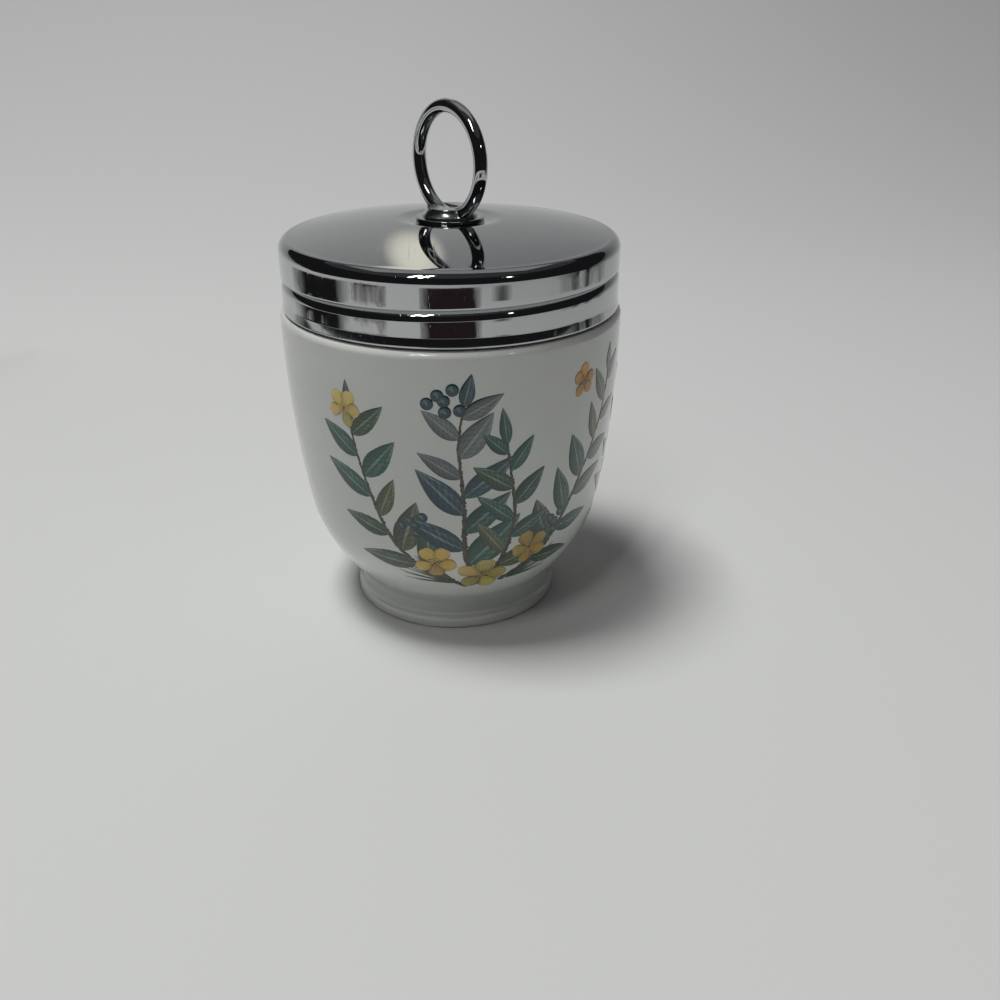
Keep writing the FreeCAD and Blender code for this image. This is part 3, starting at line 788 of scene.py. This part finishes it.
    def plan(self) -> bpy.types.Object:
        """The marks as bare points that carry what the wrapping tree reads."""
        mesh = bpy.data.meshes.new("marks")
        step = 0.055 / max(1, len(self.marks))
        heights = [(0.0, 0.0, (self.lift + step * k) * MM) for k in range(len(self.marks))]
        mesh.from_pydata(heights, [], [])
        rows = {
            "turn": ("FLOAT", "value", [m.turn for m in self.marks]),
            "rise": ("FLOAT", "value", [m.rise * MM for m in self.marks]),
            "girth": ("FLOAT", "value", [self.profile.girth_at(m.rise) * MM for m in self.marks]),
            "spin": ("FLOAT", "value", [m.spin for m in self.marks]),
            "kind": ("INT", "value", [m.motif.value for m in self.marks]),
            "size": ("FLOAT_VECTOR", "vector", [c for m in self.marks for c in (*m.size, 1.0)]),
            "tint": ("FLOAT_COLOR", "color", [c for m in self.marks for c in (*m.tint, 1.0)]),
        }
        for name, (kind, slot, values) in rows.items():
            mesh.attributes.new(name, kind, "POINT").data.foreach_set(slot, values)
        plan = bpy.data.objects.new("marks", mesh)
        bpy.context.scene.collection.objects.link(plan)
        return plan


@dataclass
class MotifShapes:
    """The flat shapes that marks are made of, each one unit long, edges dipped into the glaze."""

    dip: float = -0.055

    def sheet(self, name: str, rows: int, columns: int, widths: list[float], shades: np.ndarray,
              bow: float = 0.0) -> bpy.types.Object:
        """A strip one unit long with a width at each row.

        Args:
            name: the shape's name.
            rows: rows of corners along it.
            columns: corners across it.
            widths: half width at each row.
            shades: light and dark at each corner.
            bow: how far its middle is pushed aside.

        Returns:
            The shape, outside the scene.
        """
        points, brush = [], []
        for row in range(rows):
            along = row / (rows - 1)
            shift = bow * math.sin(math.pi * along)
            for column in range(columns):
                across = 2 * column / (columns - 1) - 1
                edge = row in (0, rows - 1) or column in (0, columns - 1)
                points.append((across * widths[row] + shift, along, self.dip * MM if edge else 0.0))
                brush.append((across, along, 0.0))
        faces = [(r * columns + c, r * columns + c + 1, (r + 1) * columns + c + 1, (r + 1) * columns + c)
                 for r in range(rows - 1) for c in range(columns - 1)]
        return self.shape(name, points, faces, shades, brush)

    def disc(self, name: str, rings: list[float], sides: int, shades: np.ndarray,
             ragged: float = 0.0) -> bpy.types.Object:
        """A round shape of radius one, dipped at its outer ring."""
        points, brush = [(0.0, 0.0, 0.0)], [(0.0, 0.0, 0.0)]
        for number, ring in enumerate(rings):
            for side in range(sides):
                angle = 2 * math.pi * side / sides
                reach = ring * (1.0 + ragged * math.sin(angle * 3 + 1.0) + ragged * math.cos(angle * 5))
                low = self.dip * MM if number == len(rings) - 1 else 0.0
                points.append((reach * math.cos(angle), reach * math.sin(angle), low))
                brush.append((math.cos(angle) * ring, math.sin(angle) * ring, 0.0))
        faces = [(0, 1 + s, 1 + (s + 1) % sides) for s in range(sides)]
        for number in range(len(rings) - 1):
            base, after = 1 + number * sides, 1 + (number + 1) * sides
            faces += [(base + s, after + s, after + (s + 1) % sides, base + (s + 1) % sides)
                      for s in range(sides)]
        return self.shape(name, points, faces, shades, brush)

    def shape(self, name: str, points: list, faces: list, shades: np.ndarray,
              brush: list) -> bpy.types.Object:
        """The mesh with its shade and brush attributes, scaled to millimetres across and along."""
        mesh = bpy.data.meshes.new(name)
        mesh.from_pydata([(x * MM, y * MM, z) for x, y, z in points], [], faces)
        mesh.polygons.foreach_set("use_smooth", [True] * len(mesh.polygons))
        levels = [float(level) for level in np.ravel(shades)]
        mesh.attributes.new("shade", "FLOAT", "POINT").data.foreach_set("value", levels)
        flat = [c for row in brush for c in row]
        mesh.attributes.new("brush", "FLOAT_VECTOR", "POINT").data.foreach_set("vector", flat)
        return bpy.data.objects.new(name, mesh)

    def collection(self) -> bpy.types.Collection:
        """All shapes, in the order of Motif."""
        rows, columns = 17, 13
        along = np.linspace(0, 1, rows)
        across = np.linspace(-1, 1, columns)
        leaf_width = [max(0.012, math.sin(math.pi * v ** 0.82) ** 0.85 * (1 - 0.25 * v)) for v in along]
        rib = np.exp(-(across[None, :] / 0.09) ** 2) * 0.42
        veins = 0.13 * np.sin(along[:, None] * 52 - np.abs(across[None, :]) * 9)
        rim = -0.30 * np.abs(across[None, :]) ** 6
        leaf_shade = 0.36 + rib + veins + rim + 0.22 * across[None, :] + 0.16 * along[:, None]
        blade_rows, blade_columns = 12, 5
        blade_along = np.linspace(0, 1, blade_rows)
        blade_width = [max(0.03, (1 - v) ** 0.6 * (0.35 + 0.65 * min(1.0, v * 5))) for v in blade_along]
        blade_shade = np.repeat((0.25 + 0.5 * blade_along)[:, None], blade_columns, axis=1)
        petal_rows, petal_columns = 11, 11
        petal_along = np.linspace(0, 1, petal_rows)
        petal_across = np.linspace(-1, 1, petal_columns)
        petal_width = [max(0.05, math.sin(math.pi * min(v, 0.985) ** 1.5) ** 0.62) for v in petal_along]
        petal_shade = (0.16 + 0.60 * petal_along[:, None] ** 0.8 - 0.50 * np.abs(petal_across[None, :]) ** 4
                       + 0.14 * np.cos(petal_across[None, :] * 17) * (1 - petal_along[:, None])
                       - 0.35 * petal_along[:, None] ** 14)
        rings = [0.35, 0.65, 0.9, 1.0]
        sides = 16
        berry = [0.75]
        for ring in rings:
            for side in range(sides):
                angle = 2 * math.pi * side / sides
                lit = ring * math.cos(angle - 2.2)
                berry.append(0.42 + 0.5 * max(0.0, lit) * (1.1 - ring) * 2 - 0.35 * ring ** 3)
        dab_rings, dab_sides = [0.78, 1.0], 8
        dab = [0.5] + [0.45] * dab_sides + [0.35] * dab_sides
        shapes = [
            self.sheet("m0_leaf", rows, columns, leaf_width, leaf_shade),
            self.sheet("m1_blade", blade_rows, blade_columns, blade_width, blade_shade, bow=0.35),
            self.sheet("m2_petal", petal_rows, petal_columns, petal_width, petal_shade),
            self.disc("m3_berry", rings, sides, np.array(berry)),
            self.disc("m4_dab", dab_rings, dab_sides, np.array(dab), ragged=0.12),
        ]
        group = bpy.data.collections.new("motifs")
        for shape in shapes:
            group.objects.link(shape)
        return group


class GlazeWrap:
    """Lays flat marks on the cup: places a shape at each point, then bends it onto the profile."""

    def tree(self) -> bpy.types.NodeTree:
        """Builds the tree with its named inputs."""
        tree = bpy.data.node_groups.new("glaze_wrap", "GeometryNodeTree")
        graph = NodeGraph(tree)
        sockets = (("Marks", "NodeSocketGeometry"), ("Line", "NodeSocketObject"),
                   ("Motifs", "NodeSocketCollection"), ("Paint", "NodeSocketMaterial"))
        for name, kind in sockets:
            tree.interface.new_socket(name=name, in_out="INPUT", socket_type=kind)
        tree.interface.new_socket(name="Painted", in_out="OUTPUT", socket_type="NodeSocketGeometry")
        given = graph.add("NodeGroupInput").outputs

        def named(name: str, kind: str) -> bpy.types.NodeSocket:
            """A value that the points carry."""
            node = graph.add("GeometryNodeInputNamedAttribute", {"Name": name}, data_type=kind)
            return next(o for o in node.outputs if o.enabled and o.name == "Attribute")

        spin = graph.add("ShaderNodeCombineXYZ", {"Z": named("spin", "FLOAT")}).outputs[0]
        turned = graph.add("FunctionNodeEulerToRotation", {0: spin}).outputs[0]
        shapes = graph.add("GeometryNodeCollectionInfo",
                           {"Collection": given["Motifs"], "Separate Children": True,
                            "Reset Children": True}).outputs[0]
        placed = graph.add("GeometryNodeInstanceOnPoints",
                           {"Points": given["Marks"], "Instance": shapes, "Pick Instance": True,
                            "Instance Index": named("kind", "INT"), "Rotation": turned,
                            "Scale": named("size", "FLOAT_VECTOR")})
        real = graph.add("GeometryNodeRealizeInstances", {0: placed.outputs[0]}).outputs[0]
        place = graph.add("GeometryNodeInputPosition").outputs[0]
        flat = graph.add("ShaderNodeSeparateXYZ", {0: place}).outputs
        line = graph.add("GeometryNodeObjectInfo", {"Object": given["Line"]}).outputs["Geometry"]
        length = graph.math("ADD", named("rise", "FLOAT"), flat[1])
        sample = graph.add("GeometryNodeSampleCurve", {"Curves": line, "Length": length},
                           mode="LENGTH").outputs
        point = graph.add("ShaderNodeSeparateXYZ", {0: sample["Position"]}).outputs
        along = graph.add("ShaderNodeSeparateXYZ", {0: sample["Tangent"]}).outputs
        reach = graph.math("MULTIPLY_ADD", along[2], flat[2], point[0])
        height = graph.math("SUBTRACT", point[2], graph.math("MULTIPLY", along[0], flat[2]))
        around = graph.math("DIVIDE", flat[0], named("girth", "FLOAT"))
        angle = graph.math("ADD", named("turn", "FLOAT"), around)
        put = graph.add("ShaderNodeCombineXYZ", {
            0: graph.math("MULTIPLY", reach, graph.math("COSINE", angle)),
            1: graph.math("MULTIPLY", reach, graph.math("SINE", angle)), 2: height}).outputs[0]
        bent = graph.add("GeometryNodeSetPosition", {"Geometry": real, "Position": put}).outputs[0]
        done = graph.add("GeometryNodeSetMaterial", {"Geometry": bent, "Material": given["Paint"]}).outputs[0]
        graph.add("NodeGroupOutput", {0: done})
        return tree

    def lay(self, name: str, plan: bpy.types.Object, line: bpy.types.Object, motifs: bpy.types.Collection,
            paint: bpy.types.Material) -> bpy.types.Object:
        """Runs the tree on a plan of marks and keeps the result as a plain mesh."""
        modifier = plan.modifiers.new("wrap", "NODES")
        modifier.node_group = self.tree()
        given = {"Line": line, "Motifs": motifs, "Paint": paint}
        for item in modifier.node_group.interface.items_tree:
            if item.in_out == "INPUT" and item.name in given:
                modifier[item.identifier] = given[item.name]
        graph = bpy.context.evaluated_depsgraph_get()
        mesh = bpy.data.meshes.new_from_object(plan.evaluated_get(graph), depsgraph=graph)
        mesh.name = name
        piece = bpy.data.objects.new(name, mesh)
        bpy.context.scene.collection.objects.link(piece)
        for helper in (plan, line):
            bpy.data.objects.remove(helper)
        return piece


@dataclass
class Studio:
    """Camera, lamps and sheet, with the cards that the polished metal mirrors. Metres and degrees."""

    camera_place: Vector = field(default_factory=lambda: Vector((0.0, -0.1791, 0.1065)))
    turn: float = -2.86
    pitch: float = 26.47
    roll: float = 0.19
    lens: float = 36.0
    sensor: float = 36.0
    sheet_half: float = 1.6
    sheet_front: float = -1.4
    sweep_start: float = 0.30
    sweep_radius: float = 0.85
    sweep_top: float = 1.7
    room_dark: Colour = (0.012, 0.012, 0.013)
    room_radius: float = 0.40
    room_top: float = 0.43
    lamp_far: float = 1.30
    lamp_aim: float = 0.05
    seen_grey: Colour = (0.50, 0.50, 0.50)
    fill_grey: Colour = (0.085, 0.087, 0.09)
    mirrored_grey: Colour = (0.045, 0.046, 0.048)

    def camera(self) -> None:
        """Sets the camera where the photograph was taken from."""
        data = bpy.data.cameras.new("camera")
        data.lens, data.sensor_width = self.lens, self.sensor
        data.clip_start, data.clip_end = 0.01, 20.0
        camera = bpy.data.objects.new("camera", data)
        bpy.context.scene.collection.objects.link(camera)
        aim = (Matrix.Rotation(math.radians(self.turn), 4, "Z")
               @ Matrix.Rotation(math.radians(90 - self.pitch), 4, "X")
               @ Matrix.Rotation(math.radians(self.roll), 4, "Z"))
        camera.matrix_world = Matrix.Translation(self.camera_place) @ aim
        bpy.context.scene.camera = camera

    def lamp(self, name: str, azimuth: float, elevation: float, far: float, size: tuple[float, float],
             power: float, mirrored: bool = True, aside: float = 0.0) -> None:
        """Hangs a lamp that faces the object.

        Args:
            name: the lamp's name.
            azimuth: direction to it in degrees, 0 behind the object and 90 to its right.
            elevation: degrees over the table.
            far: its distance.
            size: its width and height.
            power: watts.
            mirrored: whether polished surfaces show it.
            aside: how far it is shifted along its own width.
        """
        data = bpy.data.lights.new(name, "AREA")
        data.shape = "RECTANGLE"
        data.size, data.size_y = size
        data.energy = power
        lamp = bpy.data.objects.new(name, data)
        bpy.context.scene.collection.objects.link(lamp)
        turned, raised = math.radians(azimuth), math.radians(elevation)
        level = math.cos(raised)
        towards = Vector((math.sin(turned) * level, math.cos(turned) * level, math.sin(raised)))
        facing = (-towards).to_track_quat("-Z", "Y")
        shift = facing @ Vector((aside, 0.0, 0.0))
        lamp.location = Vector((0.0, 0.0, self.lamp_aim)) + towards * far + shift
        lamp.rotation_euler = facing.to_euler()
        lamp.visible_glossy = mirrored

    def card(self, name: str, corners: list[tuple[float, float, float]], finish: Finish, flag: bool = False,
             mirrored: bool = True) -> None:
        """Stands a card that the camera can't see.

        Args:
            name: the card's name.
            corners: pairs of corners along it, low and high.
            finish: its surface.
            flag: whether it also keeps fill light off, as a studio flag does.
            mirrored: whether polished surfaces show it.
        """
        faces = [(2 * k, 2 * k + 1, 2 * k + 3, 2 * k + 2) for k in range(len(corners) // 2 - 1)]
        card = new_piece(name, np.array(corners), faces, finish)
        for reach in ("visible_camera", "visible_shadow", "visible_transmission"):
            setattr(card, reach, False)
        card.visible_diffuse, card.visible_glossy = flag, mirrored

    def bent_card(self, name: str, azimuths: tuple[float, float], far: float, lows: tuple[float, float],
                  high: float, finish: Finish, flag: bool = False, mirrored: bool = True) -> None:
        """Stands a card that follows a circle round the object.

        Args:
            name: the card's name.
            azimuths: where it starts and ends, in degrees.
            far: the circle's radius.
            lows: how high its lower edge is at its start and its end.
            high: how high its upper edge is.
            finish: its surface.
            flag: whether it also keeps fill light off.
            mirrored: whether polished surfaces show it.
        """
        steps = max(4, int(abs(azimuths[1] - azimuths[0]) / 6))
        corners = []
        for step in range(steps + 1):
            share = step / steps
            turned = math.radians(azimuths[0] + (azimuths[1] - azimuths[0]) * share)
            low = lows[0] + (lows[1] - lows[0]) * share
            corners += [(far * math.sin(turned), far * math.cos(turned), z) for z in (low, high)]
        self.card(name, corners, finish, flag, mirrored)

    def sheet(self) -> None:
        """Lays the pale sheet that sweeps up behind the object."""
        rows = [(self.sheet_front, 0.0), (self.sweep_start, 0.0)]
        for angle in range(4, 91, 4):
            turned = math.radians(angle)
            rows.append((self.sweep_start + self.sweep_radius * math.sin(turned),
                         self.sweep_radius * (1.0 - math.cos(turned))))
        rows.append((rows[-1][0], self.sweep_top))
        points = [(x, y, z) for y, z in rows for x in (-self.sheet_half, self.sheet_half)]
        faces = [(2 * k, 2 * k + 1, 2 * k + 3, 2 * k + 2) for k in range(len(rows) - 1)]
        new_piece("sheet", np.array(points), faces, MattSheet())

    def world(self) -> None:
        """Gives the room its even light: pale to the eye, dim as a fill, dark in the metal."""
        world = bpy.data.worlds.new("room")
        world.use_nodes = True
        bpy.context.scene.world = world
        graph = NodeGraph(world.node_tree)
        seen = graph.add("ShaderNodeLightPath").outputs
        fill = graph.mix(seen["Is Glossy Ray"], rgba(self.fill_grey), rgba(self.mirrored_grey))
        colour = graph.mix(seen["Is Camera Ray"], fill, rgba(self.seen_grey))
        glow = graph.add("ShaderNodeBackground", {"Color": colour, "Strength": 1.0}).outputs[0]
        graph.add("ShaderNodeOutputWorld", {"Surface": glow})

    def light(self) -> None:
        """Lights the object softly from overhead, a little from the left, with small lamps in front."""
        self.lamp("ceiling", -92.0, 76.0, self.lamp_far, (0.36, 0.36), 13.0, mirrored=False)
        for name, aside in (("tube_left", -0.068), ("tube_right", 0.068)):
            self.lamp(name, -152.0, 56.0, self.lamp_far, (0.050, 0.52), 1.15, aside=aside)
        self.lamp("bulb", 141.0, 32.0, 0.38, (0.016, 0.022), 0.016)
        bpy.context.scene.view_settings.view_transform = "Standard"

    def soft_card(self, name: str, ends: tuple[float, float], far: float, high: float, colour: Colour,
                  fades: tuple[float, float, float, float], foot: float = -0.001,
                  margin: float = 0.0) -> None:
        """Stands a low card with faded edges, which draws one soft block in the cap's side.

        Args:
            name: the card's name.
            ends: where it starts and ends, in degrees.
            far: its distance from the object's axis.
            high: how high its upper edge is.
            colour: its glow.
            fades: how wide its ends fade in degrees, where its lower fade starts and how high
                that fade is, and how uneven its ends are in degrees.
            foot: how high its lower edge is.
            margin: degrees that the card goes on past its faded ends.
        """
        soft, low, low_soft, uneven = fades
        finish = SoftCard(f"{name}_card", colour, ends, soft, low, low_soft, uneven)
        self.bent_card(name, (ends[0] - margin, ends[1] + margin), far, (foot, foot), high, finish)

    def room(self) -> None:
        """Stands the dark room round the front, higher towards the back, and a flag at the left."""
        dark = FlatCard("room_card", self.room_dark)
        far, high = self.room_radius, self.room_top
        self.bent_card("room_front", (84.0, 276.0), far, (0.0, 0.0), high, dark, flag=True)
        self.bent_card("room_right", (36.0, 84.0), far, (0.30, 0.0), high, dark)
        self.bent_card("room_left", (276.0, 328.0), far, (0.0, 0.22), high, dark)
        self.bent_card("flag_left", (232.0, 318.0), 0.21, (0.0, 0.0), 0.34, dark, flag=True,
                       mirrored=False)

    def cards(self) -> None:
        """Stands the low blocks, the pale glow behind and the grey ceiling that the metal mirrors."""
        dark = self.room_dark
        self.soft_card("block_front", (162.0, 199.0), 0.20, 0.027, (0.022, 0.015, 0.017),
                       (5.0, -0.01, 0.004, 5.0))
        self.soft_card("block_side", (219.0, 243.0), 0.21, 0.0245, (0.075, 0.052, 0.050),
                       (5.0, -0.004, 0.02, 9.0))
        self.soft_card("block_left", (241.0, 300.0), 0.20, 0.027, dark, (16.0, -0.006, 0.014, 9.0))
        self.soft_card("edge_right", (62.0, 116.0), 0.265, 0.10, dark, (22.0, -0.006, 0.022, 10.0),
                       foot=-0.004)
        self.soft_card("speck_right", (143.0, 157.0), 0.262, 0.012, (0.09, 0.09, 0.085),
                       (6.0, -0.008, 0.012, 6.0), foot=-0.004, margin=1.0)
        place = Vector((-0.075, 0.95, 0.66))
        wide, tall = 0.072, 0.30
        corners = [tuple(place + Vector((x * wide, 0.0, z * tall))) for x in (-1, 1) for z in (-1, 1)]
        self.card("glow", corners, SoftGlow("glow", centre=tuple(place), reach=(wide, tall)))
        above = [(x, y, 1.15) for x in (-0.6, 0.6) for y in (-0.02, 0.75)]
        self.card("above", above, FlatCard("above_card", (0.30, 0.305, 0.31)))

    def build(self) -> None:
        """Makes the whole studio."""
        self.camera()
        self.sheet()
        self.world()
        self.light()
        self.room()
        self.cards()


def main() -> None:
    """Builds the studio and every piece, in order."""
    logging.basicConfig(level=logging.INFO, format="%(name)s: %(message)s")
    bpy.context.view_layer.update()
    Studio().build()
    LOG.info("studio ready")
    chrome, porcelain, paint = ChromePlate(), GlazedPorcelain(), GlazePaint()
    for node in ("finger_ring", "collar_washer", "backing_washer"):
        chrome.dress(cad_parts[node])
    worn = ChromePlate("worn_chrome", (0.62, 0.63, 0.63), (0.54, 0.55, 0.55), roughness=0.20, smudged=0.32)
    worn.dress(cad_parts["ring_boss"])
    porcelain.dress(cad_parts["porcelain_cup"])
    lid = LidShell().build()
    chrome.dress(lid)
    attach(lid, "lid")
    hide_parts("lid_shell")
    LOG.info("lid cap: %d faces", len(lid.data.polygons))
    profile = CupProfile()
    sprays = PaintedSprays(profile)
    sprays.compose()
    painted = GlazeWrap().lay("painted_sprays", sprays.plan(), profile.curve(), MotifShapes().collection(),
                              paint.material())
    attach(painted, "cup")
    LOG.info("painted sprays: %d marks, %d faces", len(sprays.marks), len(painted.data.polygons))


if __name__ == "__main__":
    main()
